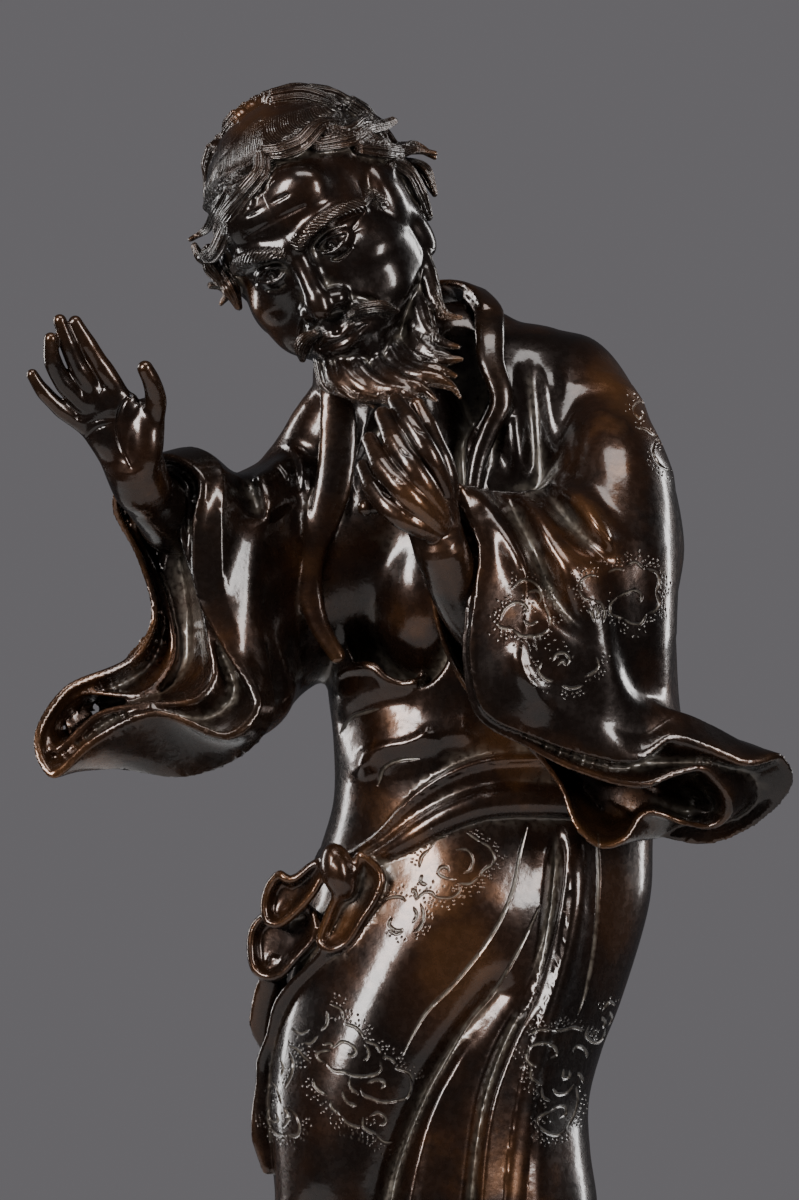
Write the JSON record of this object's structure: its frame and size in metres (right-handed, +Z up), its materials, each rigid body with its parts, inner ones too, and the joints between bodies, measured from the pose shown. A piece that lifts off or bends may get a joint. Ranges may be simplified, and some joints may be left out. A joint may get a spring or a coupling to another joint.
{
  "type": "immortal figure",
  "caption": "Cast bronze figure of a bearded immortal in wide-sleeved robes with a knotted sash, one hand raised, on a low oval base.",
  "frame": {"origin": "centre of the base's flat underside", "axes": "+Z up; -Y is the figure's front; +X is the figure's left, the viewer's right"},
  "size_m": [0.2674, 0.1988, 0.5913],
  "materials": {
    "robe_bronze": "dark brown patinated and lacquered bronze, rubbed orange brown on high points, pale residue in recesses",
    "head_bronze": "dark brown patinated bronze, grey-beige residue between the carved strands of hair and beard",
    "right_hand_bronze": "dark brown patinated bronze, satin",
    "left_hand_bronze": "brown patinated bronze rubbed orange brown, glossy",
    "base_bronze": "dark brown patinated bronze, semi-gloss"
  },
  "bodies": {
    "root": {"robe": "robe_bronze", "head": "head_bronze", "right_hand": "right_hand_bronze", "left_hand": "left_hand_bronze", "base": "base_bronze"}
  },
  "joints": []
}
